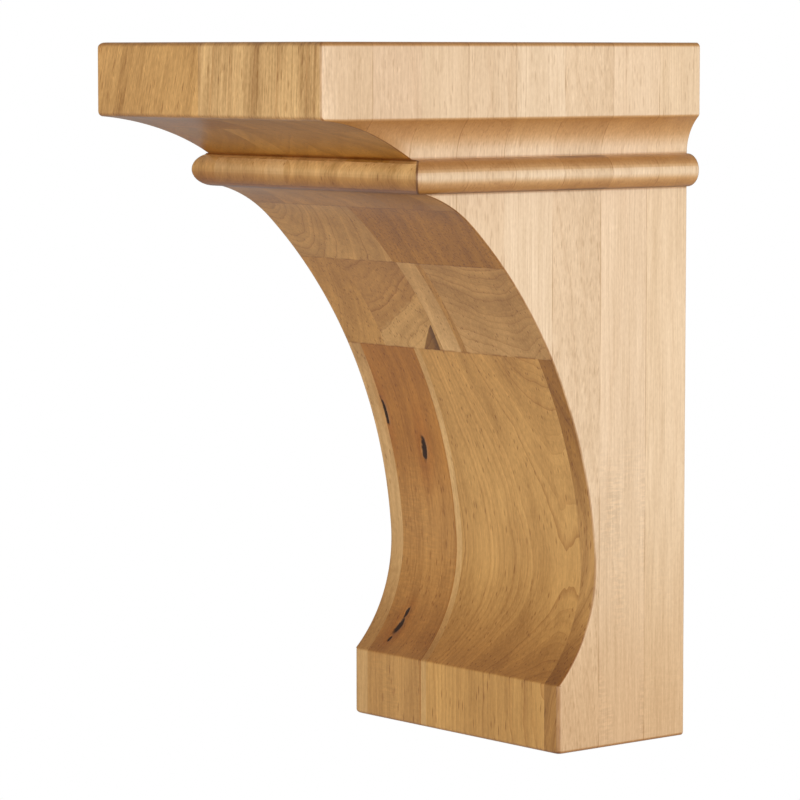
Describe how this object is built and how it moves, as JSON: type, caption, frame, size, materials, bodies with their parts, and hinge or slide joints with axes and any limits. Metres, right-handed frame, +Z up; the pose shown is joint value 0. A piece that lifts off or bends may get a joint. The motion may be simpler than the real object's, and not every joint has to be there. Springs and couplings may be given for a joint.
{
  "type": "wooden corbel bracket",
  "caption": "Hardwood wall corbel: a flat cap over a cove and bead, with a front scooped in a long curve to a plain foot block.",
  "frame": {"origin": "middle of the flat back face, which goes against the wall", "axes": "+Z up, along the height; +X along the wall, across the width; +Y into the wall, so the front faces -Y"},
  "size_m": [0.128, 0.1754, 0.254],
  "materials": {
    "maple": "sanded smooth, unfinished or clear satin"
  },
  "bodies": {
    "root": {"corbel": "maple"}
  },
  "joints": []
}
